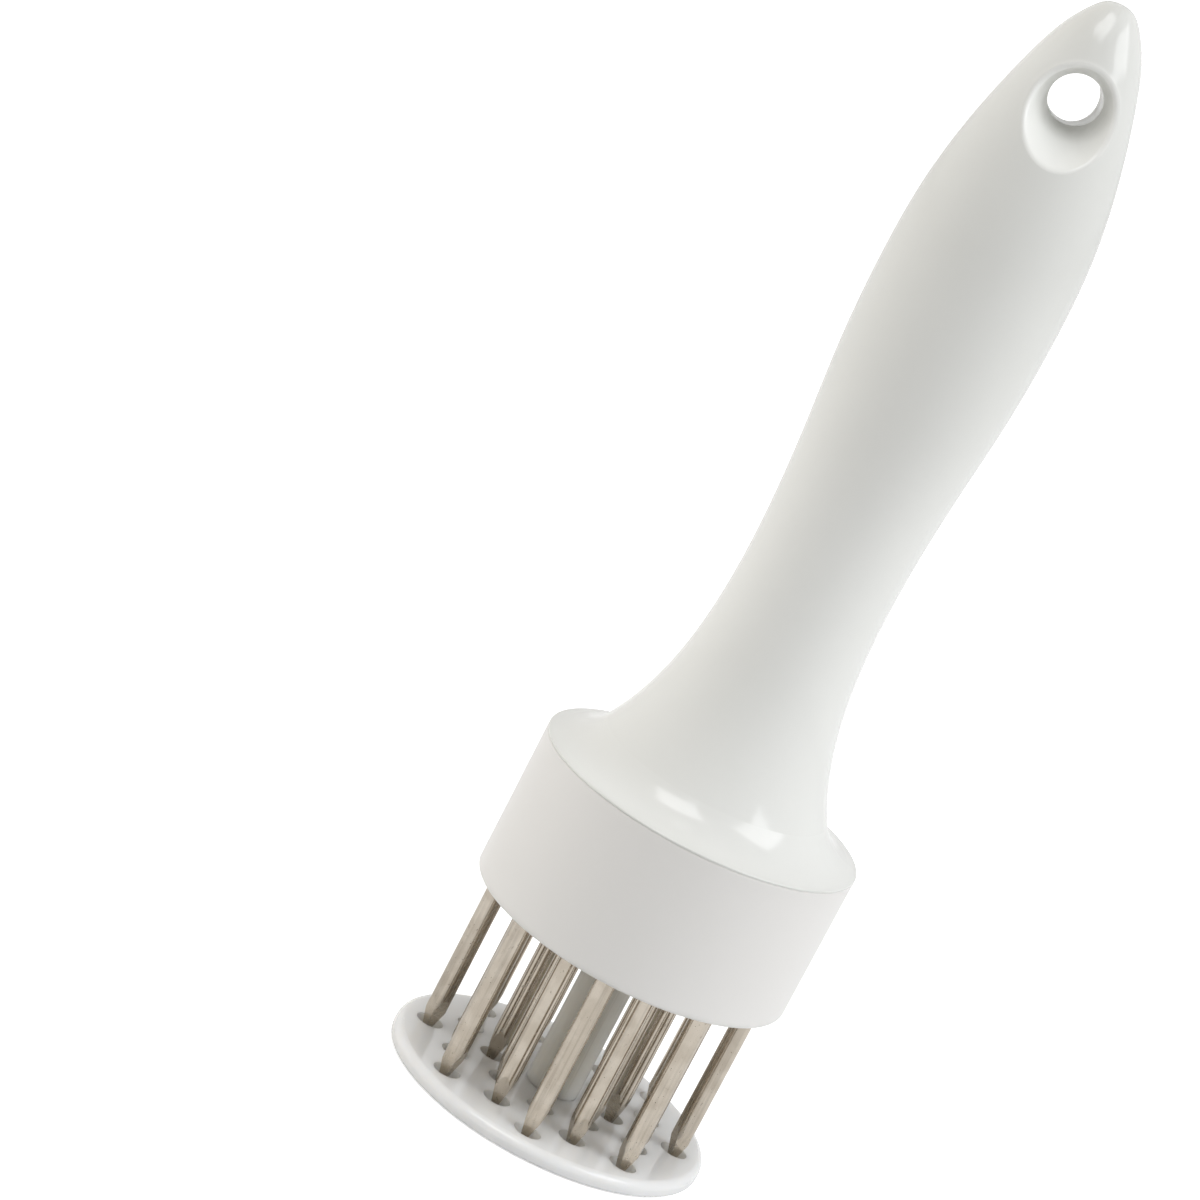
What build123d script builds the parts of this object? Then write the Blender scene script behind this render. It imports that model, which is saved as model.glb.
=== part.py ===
from build123d import *
import os
from math import cos, pi, radians, sin, sqrt, tan

# Spring-loaded needle meat tenderizer. Z runs up the tool's axis, and the origin is the middle of the
# foot's underside, where the tool stands. Millimetres and degrees.

# Heights along the axis
foot_thickness = 2.6
foot_gap = 29.4
collar_height = 25.6
handle_length = 141.9

# Clearances and cuts
running_clearance = 0.05
slip_clearance = 0.1
seat_gap = 0.05
cut_overrun = 1.0

# Needles, three rings, the outer one along the collar's wall and the middle one turned by half a step
needles_per_ring = 8
needle_ring_turn = -6.7
ring_wall_margin = 0.6
middle_ring_share = 0.787
inner_ring_share = 0.48
needle_diameter = 3.4
needle_head_overhang = 0.5
needle_head_height = 1.2
needle_point_length = 7.0
needle_point_end = 0.8
needle_point_lean = 0.15
needle_point_sink = 2.0
needle_point_turn = 25.0
needle_point_spare_share = 0.04

# Foot and its guide post
foot_overhang = 0.3
foot_hole_clearance = 0.65
foot_top_round = 1.3
foot_bottom_round = 0.4
post_diameter = 9.0
post_spigot_diameter = 6.0
post_top_chamfer = 0.5

# Collar
collar_diameter = 55.0
collar_wall = 2.1
collar_lip_clearance = 0.3
collar_lip_height = 2.4
collar_rim_round = 0.6
collar_top_round = 0.3

# Needle plate with its guide boss, and the clamp plate over the needles' heads
needle_plate_floor = 5.0
guide_boss_wall = 1.75
clamp_plate_thickness = 1.6

# Stop on the post's upper end
stop_washer_overlap = 1.55
stop_washer_thickness = 1.2
stop_screw_diameter = 3.0
stop_screw_length = 10.0
stop_screw_head_diameter = 6.4
stop_screw_head_height = 2.2
stop_screw_head_round = 0.8
stop_screw_slot_width = 0.9
stop_screw_slot_depth = 0.8

# Return spring on the washer's edge, with close turns at both ends
spring_wire = 0.9
spring_edge_inset = 0.15
spring_length = 60.0
spring_open_turns = 10
spring_end_turns = 1
spring_end_gap = 0.7

# Handle, outside
shoulder_edge_round = 0.1
shoulder_lip = 0.05
shoulder_round = 0.25
flare_angle = 75.0
flare_flank = 1.8
flare_end_angle = 29.6
flare_end_spread = 7.33
neck_diameter = 24.5
neck_height_share = 0.287
belly_diameter = 30.0
belly_height_share = 0.649
palm_height_share = 0.45
palm_radius_share = 0.41
crown_height_shares = (0.30, 0.55, 0.75, 0.88, 0.96)
crown_radius_shares = (0.946, 0.79, 0.602, 0.432, 0.2595)

# Handle, inside
spigot_wall = 2.4
stop_chamber_gap = 0.7
spring_tube_wall = 2.2
spring_ledge_spare = 0.35
bell_eave_drop = 2.6
bell_rise = 12.4
hang_web = 24.5

# Hang hole, dished from both sides, the dishes' axis below the bore's
hang_drop_share = 0.3112
hang_bore_diameter = 8.4
hang_bore_length = 4.4
hang_dish_drop = 0.9
hang_dish_angle = 29.8
hang_mouth_round = 0.6
hang_rim_round = 0.7

# Levels and radii that several pieces share
collar_rim_z = foot_thickness + foot_gap
seam_z = collar_rim_z + collar_height
tip_z = seam_z + handle_length
plate_z = collar_rim_z + collar_lip_height
heads_z = plate_z + needle_plate_floor
clamp_z = heads_z + needle_head_height
spigot_z = clamp_z + clamp_plate_thickness
post_top_z = spigot_z + seat_gap
washer_top_z = post_top_z + stop_washer_thickness
spring_base_z = washer_top_z + seat_gap
chamber_top_z = spring_base_z + spring_length + seat_gap

collar_bore_radius = collar_diameter / 2 - collar_wall
plate_radius = collar_bore_radius - slip_clearance
needle_radius = needle_diameter / 2
needle_head_radius = needle_radius + needle_head_overhang
outer_ring_radius = plate_radius - ring_wall_margin - needle_head_radius
middle_ring_radius = outer_ring_radius * middle_ring_share
inner_ring_radius = outer_ring_radius * inner_ring_share
guide_bore_radius = post_diameter / 2 + running_clearance
boss_radius = guide_bore_radius + guide_boss_wall
stop_washer_radius = guide_bore_radius + stop_washer_overlap
spring_radius = stop_washer_radius - spring_edge_inset - spring_wire / 2
chamber_radius = stop_washer_radius + stop_chamber_gap

ring_step = 360 / needles_per_ring
needle_rings = (
    (outer_ring_radius, needle_ring_turn),
    (middle_ring_radius, needle_ring_turn + ring_step / 2),
    (inner_ring_radius, needle_ring_turn),
)

os.makedirs("parts", exist_ok=True)


# Foot: a thin disc with one hole for each needle and a socket for the post
with BuildPart() as foot_plate:
    with BuildSketch():
        Circle(collar_diameter / 2 + foot_overhang)
    extrude(amount=foot_thickness)
    fillet(foot_plate.faces().sort_by(Axis.Z)[-1].edges(), foot_top_round)
    fillet(foot_plate.faces().sort_by(Axis.Z)[0].edges(), foot_bottom_round)
    with BuildSketch():
        Circle(post_spigot_diameter / 2)
        for ring_radius, first_angle in needle_rings:
            with PolarLocations(ring_radius, needles_per_ring, start_angle=first_angle):
                Circle(needle_radius + foot_hole_clearance)
    extrude(amount=foot_thickness, mode=Mode.SUBTRACT)
foot_plate.part.label = "foot_plate"
export_step(foot_plate.part, "parts/foot_plate.step")

# Guide post: its spigot is pressed into the foot, its top takes the stop screw
with BuildPart() as guide_post:
    with BuildSketch():
        Circle(post_spigot_diameter / 2)
    extrude(amount=foot_thickness)
    with BuildSketch(Plane.XY.offset(foot_thickness)):
        Circle(post_diameter / 2)
    extrude(amount=post_top_z - foot_thickness)
    chamfer(guide_post.faces().sort_by(Axis.Z)[-1].edges(), post_top_chamfer)
    with BuildSketch(Plane.XY.offset(post_top_z)):
        Circle(stop_screw_diameter / 2)
    extrude(amount=-stop_screw_length, mode=Mode.SUBTRACT)
guide_post.part.label = "guide_post"
export_step(guide_post.part, "parts/guide_post.step")

# Stop washer: wider than the guide bore, it holds the foot's weight on the boss
with BuildPart() as stop_washer:
    with BuildSketch(Plane.XY.offset(post_top_z)):
        Circle(stop_washer_radius)
        Circle(stop_screw_diameter / 2 + slip_clearance, mode=Mode.SUBTRACT)
    extrude(amount=stop_washer_thickness)
stop_washer.part.label = "stop_washer"
export_step(stop_washer.part, "parts/stop_washer.step")

# Stop screw: slotted pan head on the washer, plain shank in the post
with BuildPart() as stop_screw:
    with BuildSketch(Plane.XY.offset(washer_top_z)):
        Circle(stop_screw_head_diameter / 2)
    extrude(amount=stop_screw_head_height)
    fillet(stop_screw.faces().sort_by(Axis.Z)[-1].edges(), stop_screw_head_round)
    with BuildSketch(Plane.XY.offset(washer_top_z + stop_screw_head_height)):
        Rectangle(stop_screw_head_diameter, stop_screw_slot_width)
    extrude(amount=-stop_screw_slot_depth, mode=Mode.SUBTRACT)
    with BuildSketch(Plane.XY.offset(washer_top_z)):
        Circle(stop_screw_diameter / 2)
    extrude(amount=-(stop_screw_length + stop_washer_thickness))
stop_screw.part.label = "stop_screw"
export_step(stop_screw.part, "parts/stop_screw.step")

# Collar: a plain ring with a lip inside its lower rim
with BuildPart() as collar:
    with BuildSketch(Plane.XY.offset(collar_rim_z)):
        Circle(collar_diameter / 2)
    extrude(amount=collar_height)
    with BuildSketch(Plane.XY.offset(plate_z)):
        Circle(collar_bore_radius)
    extrude(amount=collar_height, mode=Mode.SUBTRACT)
    with BuildSketch(Plane.XY.offset(collar_rim_z)):
        Circle(outer_ring_radius + needle_radius + collar_lip_clearance)
    extrude(amount=collar_height, mode=Mode.SUBTRACT)
    fillet(collar.faces().sort_by(Axis.Z)[0].edges(), collar_rim_round)
    fillet(collar.faces().sort_by(Axis.Z)[-1].outer_wire().edges(), collar_top_round)
collar.part.label = "collar"
export_step(collar.part, "parts/collar.step")

# Needle plate: a disc on the collar's lip, with a hole per needle and the post's guide boss in the middle
with BuildPart() as needle_plate:
    with BuildSketch(Plane.XY.offset(plate_z)):
        Circle(plate_radius)
    extrude(amount=needle_plate_floor)
    with BuildSketch(Plane.XY.offset(heads_z)):
        Circle(boss_radius)
    extrude(amount=spigot_z - heads_z)
    with BuildSketch(Plane.XY.offset(plate_z)):
        Circle(guide_bore_radius)
    extrude(amount=spigot_z - plate_z, mode=Mode.SUBTRACT)
    with BuildSketch(Plane.XY.offset(plate_z)):
        for ring_radius, first_angle in needle_rings:
            with PolarLocations(ring_radius, needles_per_ring, start_angle=first_angle):
                Circle(needle_radius + running_clearance)
    extrude(amount=needle_plate_floor, mode=Mode.SUBTRACT)
needle_plate.part.label = "needle_plate"
export_step(needle_plate.part, "parts/needle_plate.step")

# Clamp plate: lies on the needles' heads, pressed down by the handle's spigot
with BuildPart() as clamp_plate:
    with BuildSketch(Plane.XY.offset(clamp_z)):
        Circle(plate_radius)
        Circle(boss_radius + slip_clearance, mode=Mode.SUBTRACT)
    extrude(amount=clamp_plate_thickness)
clamp_plate.part.label = "clamp_plate"
export_step(clamp_plate.part, "parts/clamp_plate.step")

# Needles: round shank, flat head on the plate, four-sided point off centre, each at a turn of its own
needle_point_z = foot_thickness - needle_point_sink
needle_shank_z = needle_point_z + needle_point_length
needle_number = 0
for ring_radius, first_angle in needle_rings:
    for step in range(needles_per_ring):
        needle_number += 1
        around = radians(first_angle + step * ring_step)
        turn = radians(needle_number * needle_point_turn)
        needle_foot = Plane(
            origin=(ring_radius * cos(around), ring_radius * sin(around), needle_point_z),
            x_dir=(cos(turn), sin(turn), 0),
            z_dir=(0, 0, 1),
        )
        with BuildPart() as needle:
            with BuildSketch(needle_foot):
                Circle(needle_radius)
            extrude(amount=needle_point_length)
            with BuildSketch(needle_foot):
                with Locations((needle_point_lean, 0)):
                    Rectangle(needle_point_end, needle_point_end)
            with BuildSketch(needle_foot.offset(needle_point_length)):
                Rectangle(
                    needle_diameter * (1 + needle_point_spare_share),
                    needle_diameter * (1 + needle_point_spare_share),
                )
            loft(mode=Mode.INTERSECT)
            with BuildSketch(needle_foot.offset(needle_point_length)):
                Circle(needle_radius)
            extrude(amount=heads_z - needle_shank_z)
            with BuildSketch(needle_foot.offset(heads_z - needle_point_z)):
                Circle(needle_head_radius)
            extrude(amount=needle_head_height)
        needle.part.label = f"needle_{needle_number:02d}"
        export_step(needle.part, f"parts/needle_{needle_number:02d}.step")

# Return spring: a helix of half turns, each half turn two tangent arcs
end_pitch = spring_wire + spring_end_gap
open_pitch = (spring_length - spring_wire - 2 * spring_end_turns * end_pitch) / spring_open_turns
end_rises = [end_pitch / 2] * (2 * spring_end_turns)
half_rises = end_rises + [open_pitch / 2] * (2 * spring_open_turns) + end_rises
joint_rises = [half_rises[0]] + [
    (below + above) / 2 for below, above in zip(half_rises, half_rises[1:])
] + [half_rises[-1]]
coil_start_z = spring_base_z + spring_wire / 2


def coil_point(joint):
    return Vector(spring_radius * (-1) ** joint, 0, coil_start_z + sum(half_rises[:joint]))


def coil_heading(joint):
    return Vector(0, pi * spring_radius * (-1) ** joint, joint_rises[joint]).normalized()


with BuildPart() as return_spring:
    with BuildLine() as coil:
        for joint in range(len(half_rises)):
            start, end = coil_point(joint), coil_point(joint + 1)
            leave, arrive = coil_heading(joint), coil_heading(joint + 1)
            chord = end - start
            both = leave + arrive
            bend = 2 * (1 - leave.dot(arrive))
            reach = (sqrt(chord.dot(both) ** 2 + bend * chord.dot(chord)) - chord.dot(both)) / bend
            middle = (start + leave * reach + end - arrive * reach) / 2
            first_arc = TangentArc(start, middle, tangent=leave)
            TangentArc(middle, end, tangent=first_arc % 1)
    with BuildSketch(Plane(origin=coil_point(0), z_dir=coil_heading(0))):
        Circle(spring_wire / 2)
    sweep()
return_spring.part.label = "return_spring"
export_step(return_spring.part, "parts/return_spring.step")

samples_per_turn = 48
coil_turns = len(half_rises) / 2
coil_samples = [coil.wire().position_at(i / (samples_per_turn * coil_turns))
                for i in range(int(samples_per_turn * coil_turns) + 1)]
least_gap = min(
    (coil_samples[i] - coil_samples[j]).length - spring_wire
    for i in range(len(coil_samples))
    for j in range(i + samples_per_turn // 2, len(coil_samples))
)
print(f"return spring: least gap to itself {least_gap:.2f} mm")

# Handle: one moulded revolve, hollowed from below, with a dished hang hole through the tip
spigot_radius = collar_bore_radius - slip_clearance
bell_radius = spigot_radius - spigot_wall
spring_tube_radius = chamber_radius + spring_tube_wall
core_radius = spring_radius - spring_wire / 2 - spring_ledge_spare
neck_radius = neck_diameter / 2
neck_z = seam_z + handle_length * neck_height_share
belly_radius = belly_diameter / 2
belly_z = seam_z + handle_length * belly_height_share
palm_radius = neck_radius + (belly_radius - neck_radius) * palm_radius_share
palm_z = neck_z + (belly_z - neck_z) * palm_height_share
shoulder_inset = shoulder_round * (1 - cos(radians(flare_angle)))
flank_inset = flare_flank * sin(radians(flare_angle))
flare_inset = collar_diameter / 2 - neck_radius - flare_end_spread - shoulder_inset - flank_inset
flare_radius = flare_inset / (cos(radians(flare_end_angle)) - cos(radians(flare_angle)))
crown_points = [
    (belly_radius * radius_share, belly_z + (tip_z - belly_z) * height_share)
    for radius_share, height_share in zip(crown_radius_shares, crown_height_shares)
]
hang_z = tip_z - (tip_z - belly_z) * hang_drop_share
dish_z = hang_z - hang_dish_drop
dish_reach = belly_radius + cut_overrun
dish_root = (hang_bore_diameter / 2 - hang_dish_drop) / tan(radians(hang_dish_angle)) - hang_bore_length / 2
dish_radius = (dish_reach + dish_root) * tan(radians(hang_dish_angle))
core_top_z = hang_z - hang_web

with BuildPart() as handle:
    with BuildSketch(Plane.XZ):
        with BuildLine():
            foot_line = Polyline(
                (0, spigot_z),
                (spigot_radius, spigot_z),
                (spigot_radius, seam_z),
                (collar_diameter / 2, seam_z),
                (collar_diameter / 2, seam_z + shoulder_edge_round + shoulder_lip),
            )
            shoulder = JernArc(foot_line @ 1, (0, 1), shoulder_round, flare_angle)
            flank = PolarLine(shoulder @ 1, flare_flank, direction=shoulder % 1)
            flare = JernArc(flank @ 1, flank % 1, flare_radius, flare_end_angle - flare_angle)
            grip = Spline(
                flare @ 1,
                (neck_radius, neck_z),
                (palm_radius, palm_z),
                (belly_radius, belly_z),
                tangents=(flare % 1, (0, 1)),
            )
            crown = Spline(grip @ 1, *crown_points, (0, tip_z), tangents=((0, 1), (-1, 0)))
            Line(crown @ 1, foot_line @ 0)
        make_face()
    revolve(axis=Axis.Z)
    rim_edges = handle.edges().filter_by(GeomType.CIRCLE).group_by(SortBy.RADIUS)[-1]
    fillet(rim_edges.sort_by(Axis.Z)[0], shoulder_edge_round)

    with BuildSketch(Plane.XZ):
        with BuildLine():
            Polyline(
                (0, spigot_z),
                (chamber_radius, spigot_z),
                (chamber_radius, chamber_top_z),
                (core_radius, chamber_top_z),
                (core_radius, core_top_z),
                (0, core_top_z),
                close=True,
            )
        make_face()
        with BuildLine():
            Polyline(
                (spring_tube_radius, spigot_z),
                (bell_radius, spigot_z),
                (bell_radius, seam_z - bell_eave_drop),
                (spring_tube_radius, seam_z + bell_rise),
                close=True,
            )
        make_face()
    revolve(axis=Axis.Z, mode=Mode.SUBTRACT)

    with BuildSketch(Plane.XZ):
        with Locations((0, hang_z)):
            Circle(hang_bore_diameter / 2)
    extrude(amount=dish_reach, both=True, mode=Mode.SUBTRACT)
    with BuildSketch(Plane.YZ):
        for side in (-1, 1):
            with BuildLine():
                Polyline(
                    (-side * dish_root, dish_z),
                    (side * dish_reach, dish_z),
                    (side * dish_reach, dish_z + dish_radius),
                    close=True,
                )
            make_face()
    revolve(axis=Axis((0, 0, dish_z), (0, 1, 0)), mode=Mode.SUBTRACT)
    dish_edges = handle.edges(Select.LAST).filter_by(GeomType.LINE, reverse=True).sort_by(SortBy.LENGTH)
    fillet(dish_edges[:-2], hang_mouth_round)
    fillet(dish_edges[-2:], hang_rim_round)
handle.part.label = "handle"
export_step(handle.part, "parts/handle.step")
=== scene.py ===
import math

import bpy
from mathutils import Matrix, Vector


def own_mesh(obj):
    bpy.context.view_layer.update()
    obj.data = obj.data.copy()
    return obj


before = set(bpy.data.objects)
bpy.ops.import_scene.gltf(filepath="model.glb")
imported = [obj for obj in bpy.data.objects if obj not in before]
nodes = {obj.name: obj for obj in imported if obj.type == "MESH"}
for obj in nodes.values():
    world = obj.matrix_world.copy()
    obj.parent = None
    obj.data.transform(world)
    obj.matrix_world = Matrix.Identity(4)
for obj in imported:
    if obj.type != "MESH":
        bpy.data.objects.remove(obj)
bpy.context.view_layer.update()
print("frame loaded:", len(nodes), "pieces")

white = (1, 1, 1, 1)
noiseMiddle = 0.5      # a noise pattern swings about this value


class Tone:
    # one socket of a node tree; sums and products of tones put Math nodes in the tree
    def __init__(self, tree, socket=None):
        self.tree = tree
        self.socket = socket

    def node(self, kind, settings, sockets, out=0):
        # any node: its settings first, then the values or links of its sockets
        made = self.tree.nodes.new("ShaderNode" + kind)
        for name, value in settings.items():
            setattr(made, name, value)
        for name, value in sockets.items():
            if isinstance(value, Tone):
                self.tree.links.new(value.socket, made.inputs[name])
            else:
                made.inputs[name].default_value = value
        return Tone(self.tree, made.outputs[out] if len(made.outputs) else None)

    def maths(self, operation, first, second=0.0):
        return self.node("Math", {"operation": operation}, {0: first, 1: second})

    def __add__(self, other):
        return self.maths("ADD", self, other)

    def __radd__(self, other):
        return self.maths("ADD", other, self)

    def __sub__(self, other):
        return self.maths("SUBTRACT", self, other)

    def __rsub__(self, other):
        return self.maths("SUBTRACT", other, self)

    def __mul__(self, other):
        return self.maths("MULTIPLY", self, other)

    def __rmul__(self, other):
        return self.maths("MULTIPLY", other, self)

    def place(self, longer=(1, 1, 1), turn=(0, 0, 0)):
        # the piece's own coordinates; a pattern on them is longer along the turned axes
        point = self.node("TexCoord", {}, {}, out="Object")
        return self.node("Mapping", {"vector_type": "TEXTURE"},
                         {"Vector": point, "Scale": longer, "Rotation": turn})

    def axes(self, vector):
        first = self.node("SeparateXYZ", {}, {0: vector})
        return [Tone(self.tree, socket) for socket in first.socket.node.outputs]

    def away(self, x, y):
        # distance from the point that x and y are measured from
        return self.maths("SQRT", x * x + y * y)

    def clouds(self, place, scale, detail):
        return self.node("TexNoise", {}, {"Vector": place, "Scale": scale, "Detail": detail})

    def band(self, value, low, high):
        # 0 below low, 1 above high, smooth between
        return self.node("MapRange", {"interpolation_type": "SMOOTHSTEP"},
                         {"Value": value, "From Min": low, "From Max": high})

    def larger(self, first, second):
        return self.maths("MAXIMUM", first, second)

    def blend(self, mask, first, second):
        return self.node("Mix", {"data_type": "RGBA"}, {0: mask, 6: first, 7: second}, out=2)


def newMaterial(name):
    material = bpy.data.materials.new(name)
    material.use_nodes = True
    material.node_tree.nodes.clear()
    return material, Tone(material.node_tree)


def surfaceFrom(tone, colour, roughness, height, fixed):
    # one shader: colour, roughness and bump vary over the piece, the rest is fixed on its sockets
    bump = tone.node("Bump", {}, {"Strength": 1.0, "Distance": 1.0, "Height": height})
    varying = {"Base Color": colour, "Roughness": roughness, "Normal": bump}
    surface = tone.node("BsdfPrincipled", {}, {**varying, **fixed})
    tone.node("OutputMaterial", {}, {"Surface": surface})


def paint(material, *names):
    # the CAD piece keeps its shape and takes this finish
    for name in names:
        nodes[name].data.materials.clear()
        nodes[name].data.materials.append(material)


# what all moulded pieces share: how fine each pattern is, how much longer along its turned axes,
# and the band of the noise in which it shows
plasticSkin = {
    "cloudDetail": 3.0, "swellDetail": 1.0, "grainDetail": 1.0,
    "smearDetail": 4.0, "smearLonger": (1, 1, 4), "smearBand": (0.25, 0.6),
    "scuffDetail": 1.0,
    "uprightLonger": (1, 1, 30), "uprightTurn": (0.35, 0.2, 0), "uprightBand": (0.69, 0.80),
    "slantingLonger": (1, 1, 22), "slantingTurn": (0.9, -0.6, 0), "slantingBand": (0.70, 0.81),
}


# moulded white plastic: two near whites in soft clouds, a slow swell and a fine grain in the skin,
# short scuffs in two directions, and rubbed edges that are greyer and duller, in places also painted shade
def mouldedPlastic(name, look, wearAndShadeEdges, paintedShading=None):
    material, tone = newMaterial(name)
    skin = plasticSkin
    place = tone.place()
    axes = tone.axes(place)
    clouds = tone.clouds(place, look["cloudScale"], skin["cloudDetail"])
    swell = tone.clouds(place, look["swellScale"], skin["swellDetail"])
    grain = tone.clouds(place, look["grainScale"], skin["grainDetail"])
    smears = tone.clouds(tone.place(skin["smearLonger"]), look["smearScale"], skin["smearDetail"])
    upright = tone.clouds(tone.place(skin["uprightLonger"], skin["uprightTurn"]),
                          look["scuffScale"], skin["scuffDetail"])
    slanting = tone.clouds(tone.place(skin["slantingLonger"], skin["slantingTurn"]),
                           look["scuffScale"], skin["scuffDetail"])
    scuffs = tone.larger(tone.band(upright, *skin["uprightBand"]), tone.band(slanting, *skin["slantingBand"]))
    # rubbed marks are wear; round the handle's hang hole and in the foot's holes they also carry painted shade
    wearAndShade = wearAndShadeEdges(tone, *axes) * tone.band(smears, *skin["smearBand"])
    shading = clouds
    if paintedShading:
        shading = clouds * look["cloud"] + paintedShading(tone, *axes)
    colour = tone.blend(shading, look["pale"], look["shade"])
    colour = tone.blend(wearAndShade, colour, look["wearAndShade"])
    roughness = (look["rough"] + (smears - noiseMiddle) * look["smear"]
                 + scuffs * look["scuff"] + wearAndShade * look["dull"])
    height = grain * look["grain"] + swell * look["swell"] - scuffs * look["scuffDepth"]
    surfaceFrom(tone, colour, roughness, height, {
        "IOR": look["ior"],
        "Subsurface Weight": look["glow"],
        "Subsurface Radius": look["glowReach"],
        "Subsurface Scale": 1.0,
    })
    return material


# handle: glossy, rubbed by the hook round the hang hole, where the bore also gets painted shade,
# by hands at the tip and along the seam; the grip and belly are greyer than the flare as painted shade,
# and the dish round the hang hole is left paler as painted light
handleLook = {
    "pale": (0.91, 0.913, 0.883, 1), "shade": (0.70, 0.703, 0.67, 1), "cloudScale": 28.0, "cloud": 0.25,
    "swellScale": 150.0, "swell": 0.000012, "grainScale": 3400.0, "grain": 0.0000009,
    "smearScale": 160.0, "rough": 0.14, "smear": 0.08,
    "scuffScale": 900.0, "scuff": 0.05, "scuffDepth": 0.0000004,
    "wearAndShade": (0.67, 0.67, 0.635, 1), "dull": 0.06, "faint": 0.55,
    "ior": 1.5, "glow": 0.0, "glowReach": (0.002, 0.0019, 0.0017),
    "hangHeight": 0.184, "hangNear": 0.0043, "hangFar": 0.0066, "seamHeight": 0.0576, "seamFade": 0.0007,
    "tipLow": 0.186, "tipHigh": 0.196, "flareShade": 0.38,
    "gripShade": 0.33, "gripLow": 0.1, "gripHigh": 0.16, "gripEnd": 0.175, "gripGone": 0.212,
    "dishHeight": 0.1822, "dishHalfWide": 0.0072, "dishHalfTall": 0.0086, "dishBand": (0.8, 1.05),
}


def handleEdges(tone, x, y, z):
    fromHole = tone.away(x, z - handleLook["hangHeight"])
    # round the hang hole: hook wear, and painted shade darkening the bore
    hookWearAndShade = 1 - tone.band(fromHole, handleLook["hangNear"], handleLook["hangFar"])
    seam = 1 - tone.band(z, handleLook["seamHeight"], handleLook["seamHeight"] + handleLook["seamFade"])
    tip = tone.band(z, handleLook["tipLow"], handleLook["tipHigh"])
    return tone.larger(hookWearAndShade, tone.larger(seam, tip) * handleLook["faint"])


# painted shading: the grip and belly darker as painted shade, the dish round the hang hole paler as painted
# light
def handlePaintedShading(tone, x, y, z):
    grip = tone.band(z, handleLook["gripLow"], handleLook["gripHigh"])
    grip = grip * (1 - tone.band(z, handleLook["gripEnd"], handleLook["gripGone"]))
    across = x * (1 / handleLook["dishHalfWide"])
    along = (z - handleLook["dishHeight"]) * (1 / handleLook["dishHalfTall"])
    outsideLitDish = tone.band(across * across + along * along, *handleLook["dishBand"])
    return (handleLook["flareShade"] + grip * handleLook["gripShade"]) * outsideLitDish


paint(mouldedPlastic("handlePlastic", handleLook, handleEdges, handlePaintedShading), "handle")

# collar: satin, rubbed on its lower rim
collarLook = dict(
    handleLook, pale=(0.81, 0.797, 0.772, 1), shade=(0.786, 0.773, 0.746, 1),
    rough=0.3, smear=0.08, grain=0.0000016, swell=0.00001, rimLow=0.0322, rimHigh=0.0333,
)


def collarEdges(tone, x, y, z):
    return (1 - tone.band(z, collarLook["rimLow"], collarLook["rimHigh"])) * collarLook["faint"]


paint(mouldedPlastic("collarPlastic", collarLook, collarEdges), "collar")

# foot: polished, rubbed on its rim, and greyed in and round the holes: wear where the needles pass, and painted
# shade in the holes;
# each ring of holes has its radius and the angle of its first hole
footLook = dict(
    handleLook, pale=(0.93, 0.925, 0.90, 1), shade=(0.91, 0.905, 0.88, 1), wearAndShade=(0.86, 0.852, 0.82, 1),
    rough=0.09, smear=0.05, dull=0.1, faint=0.2, grain=0.0000003, swell=0.000004,
    glow=0.8, glowReach=(0.004, 0.0038, 0.0035),
    rimNear=0.0271, rimFar=0.0279, holeNear=0.0023, holeFar=0.0031, holeStep=math.radians(45.0),
    holeRings=((0.0225, math.radians(-6.7)), (0.0177, math.radians(15.8)), (0.0108, math.radians(-6.7))),
)


def nearestHole(tone, x, y):
    # distance to the middle of the nearest hole: the angle is folded into one step, then the law of cosines
    outward = tone.away(x, y)
    around = tone.maths("ARCTAN2", y, x)
    step = footLook["holeStep"]
    nearest = outward + footLook["rimFar"]      # further than any hole of the foot
    for ringRadius, firstAngle in footLook["holeRings"]:
        fold = tone.maths("FLOORED_MODULO", around - (firstAngle - step / 2), step) - step / 2
        beside = 2 * ringRadius * outward * tone.maths("COSINE", fold)
        square = outward * outward + ringRadius * ringRadius - beside
        nearest = tone.maths("MINIMUM", nearest, tone.maths("SQRT", tone.larger(square, 0.0)))
    return nearest


def footEdges(tone, x, y, z):
    rim = tone.band(tone.away(x, y), footLook["rimNear"], footLook["rimFar"]) * footLook["faint"]
    # in and round each hole: needle wear, and painted shade
    holesWearAndShade = 1 - tone.band(nearestHole(tone, x, y), footLook["holeNear"], footLook["holeFar"])
    return tone.larger(rim, holesWearAndShade)


paint(mouldedPlastic("footPlastic", footLook, footEdges), "foot_plate")

# post: drawn smooth by its guide, with fine rub lines along it
postLook = dict(
    handleLook, pale=(0.89, 0.88, 0.825, 1), shade=(0.86, 0.85, 0.79, 1), wearAndShade=(0.80, 0.79, 0.73, 1),
    rough=0.32, smear=0.08, dull=0.12, grain=0.0000006, glow=0.8, glowReach=(0.004, 0.0038, 0.0035),
    lineScale=2600.0, lineLonger=(1, 1, 60), lineDetail=2.0, lineBand=(0.52, 0.66),
)


def postEdges(tone, x, y, z):
    lines = tone.clouds(tone.place(postLook["lineLonger"]), postLook["lineScale"], postLook["lineDetail"])
    return tone.band(lines, *postLook["lineBand"])


paint(mouldedPlastic("postPlastic", postLook, postEdges), "guide_post")

# needle plate and clamp plate: duller, rubbed towards the collar's wall
carrierLook = dict(
    handleLook, pale=(0.775, 0.765, 0.745, 1), shade=(0.745, 0.735, 0.71, 1),
    rough=0.36, smear=0.08, grain=0.0000018, rimNear=0.0246, rimFar=0.0253,
)


def carrierEdges(tone, x, y, z):
    return tone.band(tone.away(x, y), carrierLook["rimNear"], carrierLook["rimFar"]) * carrierLook["faint"]


paint(mouldedPlastic("carrierPlastic", carrierLook, carrierEdges), "needle_plate", "clamp_plate")
print("plastic finishes done")
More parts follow.
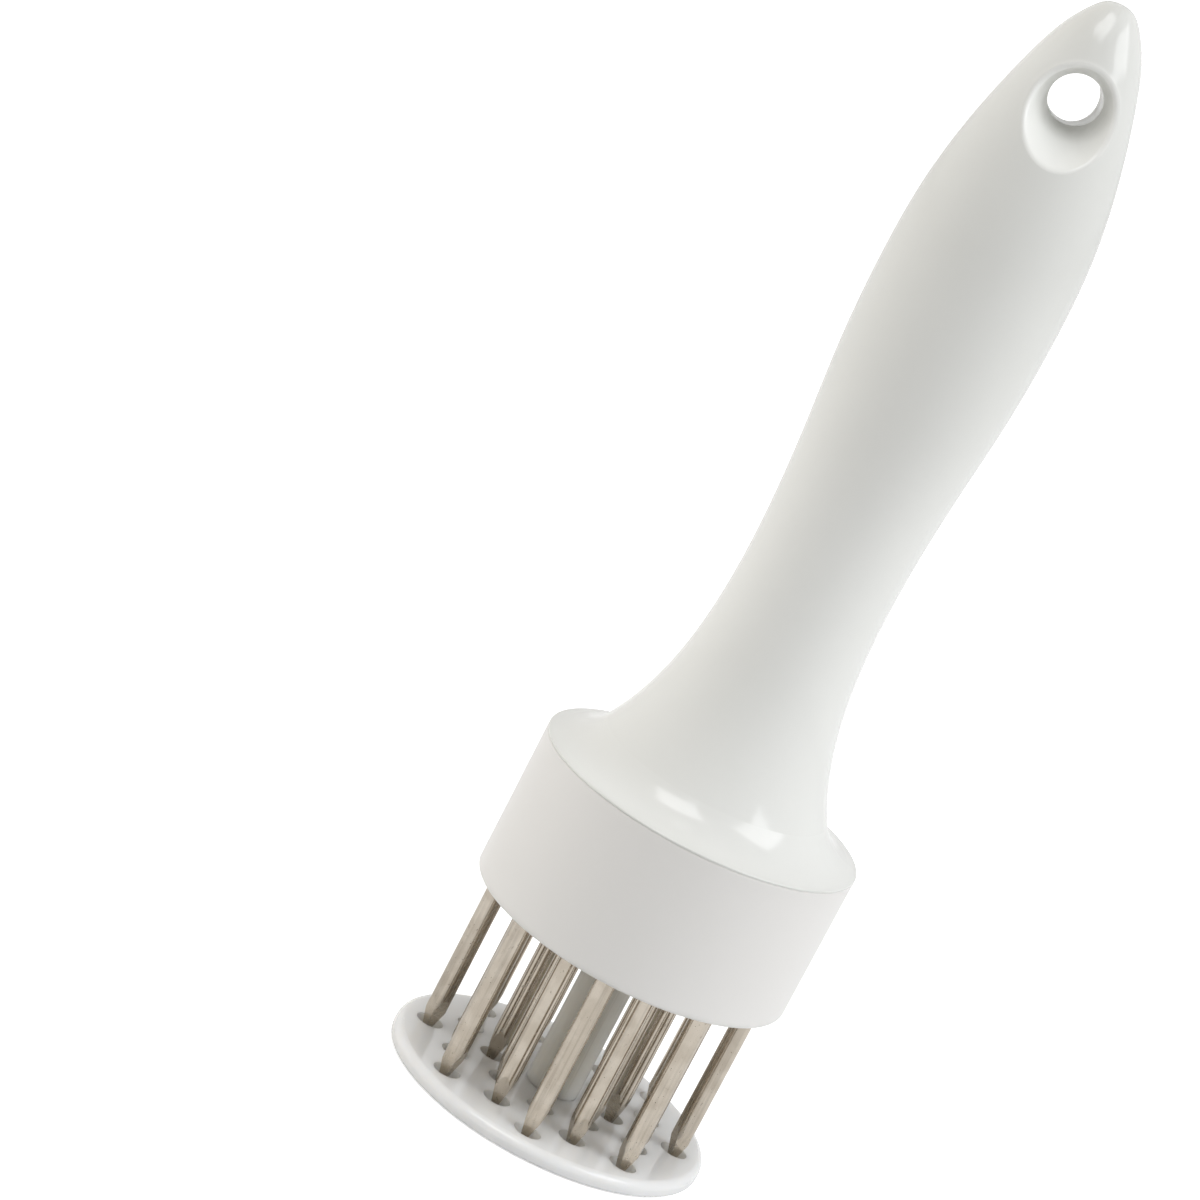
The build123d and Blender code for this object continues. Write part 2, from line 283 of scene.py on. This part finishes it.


# drawn steel: die lines and broader streaks along the wire, warm patches, pits, cross lines on the ground point;
# the point's ground faces are also painted lighter, as painted light
def drawnSteel(name, look):
    material, tone = newMaterial(name)
    lines = tone.clouds(tone.place((1, 1, look["lineLength"])), look["lineScale"], look["lineDetail"])
    streaks = tone.clouds(tone.place((1, 1, look["streakLength"])), look["streakScale"], look["streakDetail"])
    patches = tone.clouds(tone.place(), look["patchScale"], look["patchDetail"])
    dents = tone.clouds(tone.place(look["pitLonger"]), look["pitScale"], look["pitDetail"])
    pits = tone.band(dents, *look["pitBand"])
    grinding = tone.clouds(tone.place(look["grindLonger"]), look["grindScale"], look["grindDetail"])
    facing = tone.axes(tone.node("NewGeometry", {}, {}, out="Normal"))[2]
    ground = tone.band(facing * facing, *look["groundBand"])      # 1 on the sloping faces of the point
    scratches = lines * (1 - ground) + grinding * ground
    colour = tone.blend(tone.band(patches, *look["patchBand"]), look["pale"], look["warm"])
    colour = tone.blend(tone.band(streaks, *look["streakBand"]) * look["streak"], colour, look["dark"])
    # painted light: the ground faces of the point are painted lighter
    colour = tone.blend(ground * look["paintedLitPointShare"], colour, look["paintedLitPoint"])
    colour = tone.blend(pits * look["pit"], colour, look["dark"])
    roughness = (look["rough"] + (scratches - noiseMiddle) * look["scratchGloss"]
                 + ground * look["groundRough"] + pits * look["pitRough"])
    height = scratches * look["scratchDepth"] - pits * look["pitDepth"]
    surfaceFrom(tone, colour, roughness, height, {"Metallic": 1.0})
    return material


# needles: warm grey wire
needleLook = {
    "pale": (0.605, 0.547, 0.468, 1), "warm": (0.52, 0.462, 0.386, 1),
    "dark": (0.23, 0.2, 0.165, 1), "paintedLitPoint": (0.55, 0.485, 0.40, 1),
    "patchScale": 260.0, "patchDetail": 3.0, "patchBand": (0.35, 0.65),
    "pitScale": 2600.0, "pitDetail": 1.0, "pitLonger": (1, 1, 2), "pitBand": (0.68, 0.76),
    "pit": 0.3, "pitRough": 0.2, "pitDepth": 0.000003,
    "lineScale": 5200.0, "lineDetail": 3.0, "lineLength": 80.0,
    "streakScale": 1500.0, "streakDetail": 2.0, "streakLength": 30.0, "streakBand": (0.48, 0.68), "streak": 0.26,
    "grindScale": 5200.0, "grindDetail": 2.0, "grindLonger": (12, 12, 1),
    "groundBand": (0.02, 0.06), "paintedLitPointShare": 0.8, "groundRough": 0.1,
    "rough": 0.2, "scratchGloss": 0.2, "scratchDepth": 0.000004,
}
needleNames = [name for name in nodes if name.startswith("needle_") and name != "needle_plate"]
paint(drawnSteel("needleSteel", needleLook), *needleNames)

# stop washer and screw: plain stainless
stopLook = dict(
    needleLook, pale=(0.62, 0.60, 0.57, 1), warm=(0.56, 0.54, 0.50, 1),
    rough=0.28, lineLength=1.0, streak=0.1,
)
paint(drawnSteel("stopSteel", stopLook), "stop_washer", "stop_screw")

# return spring: darker wire, on a mesh of its own; its upper end, rest length and travel are listed, but nothing
# here shortens it as the foot slides up
springLook = dict(
    needleLook, pale=(0.50, 0.49, 0.47, 1), warm=(0.43, 0.42, 0.40, 1),
    rough=0.3, lineLength=1.0, streak=0.2,
    upperEnd=(0, 0, 0.1035), restLength=0.06, travel=0.029,
)
paint(drawnSteel("springSteel", springLook), "return_spring")
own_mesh(nodes["return_spring"])
print("steel finishes done")


def seenRays(tone):
    # first what the camera sees, then what a mirror or a clear body sees;
    # both are 0 for what lights a matt surface
    direct = tone.node("LightPath", {}, {}, out="Is Camera Ray")
    mirrored = tone.node("LightPath", {}, {}, out="Is Glossy Ray")
    passed = tone.node("LightPath", {}, {}, out="Is Transmission Ray")
    return direct, tone.larger(mirrored, passed)


# pale floor; the camera sees it white, and it keeps the shadow; close under each needle a painted shadow makes
# it greyer, so that the foot's holes don't shine
floorLook = {
    "half": 6.0, "drop": 0.0002, "pale": (0.8, 0.8, 0.8, 1), "lift": 0.62, "mirrorLift": 0.2,
    "needleNear": 0.0022, "needleFar": 0.004, "needleShadowColour": (0.4, 0.4, 0.4, 1),
}
half, low = floorLook["half"], -floorLook["drop"]
floorMesh = bpy.data.meshes.new("floor")
floorMesh.from_pydata([(-half, -half, low), (half, -half, low), (half, half, low), (-half, half, low)],
                      [], [(0, 1, 2, 3)])
floor = bpy.data.objects.new("floor", floorMesh)
bpy.context.scene.collection.objects.link(floor)
floorMaterial, tone = newMaterial("floorPaper")
paper = tone.node("BsdfDiffuse", {}, {"Color": floorLook["pale"]})
direct, mirrored = seenRays(tone)
x, y, _ = tone.axes(tone.place())
# painted shadow on the floor close under each needle
outsideNeedleShadow = tone.band(nearestHole(tone, x, y), floorLook["needleNear"], floorLook["needleFar"])
lift = tone.node("Emission", {}, {
    "Color": tone.blend(outsideNeedleShadow, floorLook["needleShadowColour"], white),
    "Strength": direct * floorLook["lift"] + mirrored * floorLook["mirrorLift"],
})
tone.node("OutputMaterial", {}, {"Surface": tone.node("AddShader", {}, {0: paper, 1: lift})})
floorMesh.materials.append(floorMaterial)

# the camera stands a little left of the hang hole's axis, and the light turns with it
studioLook = {"turn": -6.7, "middle": (0, 0, 0.1)}
viewTurn = Matrix.Rotation(math.radians(studioLook["turn"]), 4, "Z")

# white all round for the camera and a little less for mirrors; matt surfaces get soft light from four sides,
# warm from the left and cool from the right
worldLook = {
    "seen": 1.0, "mirrored": 0.8, "even": 0.05,
    "warm": (1, 0.97, 0.925, 1), "cool": (0.97, 0.98, 1, 1), "tintBand": (-0.7, 0.7),
}
softSides = {
    "left": {"toward": (-0.998, -0.068, 0), "level": 4.37, "narrow": 8.0},
    "right": {"toward": (0.976, -0.22, 0), "level": 3.44, "narrow": 8.0},
    "top": {"toward": (0, 0, 1), "level": 1.22, "narrow": 8.0},
    "back": {"toward": (0, 1, 0), "level": 1.4, "narrow": 4.0},
}
world = bpy.data.worlds.new("studio")
bpy.context.scene.world = world
world.use_nodes = True
world.node_tree.nodes.clear()
tone = Tone(world.node_tree)
outward = tone.node("TexCoord", {}, {}, out="Generated")
soft = worldLook["even"]
for side in softSides.values():
    toward = tuple(viewTurn @ Vector(side["toward"]))
    facing = tone.node("VectorMath", {"operation": "DOT_PRODUCT"}, {0: outward, 1: toward}, out="Value")
    soft = soft + tone.maths("POWER", tone.larger(facing, 0.0), side["narrow"]) * side["level"]
fromLeft = tone.band(tone.axes(outward)[0], *worldLook["tintBand"])
tint = tone.blend(fromLeft, worldLook["warm"], worldLook["cool"])
direct, mirrored = seenRays(tone)
seen = tone.larger(direct, mirrored)
strength = soft * (1 - seen) + direct * worldLook["seen"] + mirrored * worldLook["mirrored"]
sky = tone.node("Background", {}, {"Color": tone.blend(seen, tint, white), "Strength": strength})
tone.node("OutputWorld", {}, {"Surface": sky})

# two soft boxes, each turned to the middle of the tool
softBoxes = {
    "topBox": {
        "toward": (-0.2, -0.36, 0.91), "away": 2.0, "wide": 1.05, "tall": 0.85,
        "watts": 10.5, "colour": (0.975, 0.985, 1),
    },
    "rightBox": {
        "toward": (0.71, -0.17, 0.68), "away": 2.0, "wide": 1.2, "tall": 1.0,
        "watts": 12.6, "colour": (0.965, 0.98, 1),
    },
}
for name, box in softBoxes.items():
    lamp = bpy.data.lights.new(name, "AREA")
    lamp.shape = "RECTANGLE"
    lamp.size, lamp.size_y = box["wide"], box["tall"]
    lamp.energy = box["watts"]
    lamp.color = box["colour"]
    toward = viewTurn @ Vector(box["toward"]).normalized()
    lampObject = bpy.data.objects.new(name, lamp)
    lampObject.matrix_world = Matrix.LocRotScale(Vector(studioLook["middle"]) + toward * box["away"],
                                                 toward.to_track_quat("Z", "Y"), None)
    bpy.context.scene.collection.objects.link(lampObject)

# camera where the photograph was taken from, rolled so that the tool leans
cameraLook = {
    "at": (0, -0.66, 0.2572), "aim": (-0.029166, 0, 0.078897),
    "roll": 27.177, "sensor": 36, "lens": 129.318,
}
camera = bpy.data.cameras.new("camera")
camera.sensor_width = cameraLook["sensor"]
camera.lens = cameraLook["lens"]
cameraObject = bpy.data.objects.new("camera", camera)
looking = Vector(cameraLook["aim"]) - Vector(cameraLook["at"])
level = looking.to_track_quat("-Z", "Y").to_matrix().to_4x4()
rolled = level @ Matrix.Rotation(math.radians(cameraLook["roll"]), 4, "Z")
cameraObject.matrix_world = viewTurn @ Matrix.Translation(cameraLook["at"]) @ rolled
bpy.context.scene.collection.objects.link(cameraObject)
bpy.context.scene.camera = cameraObject
bpy.context.scene.view_settings.view_transform = "Standard"
print("floor, lamps and camera done")
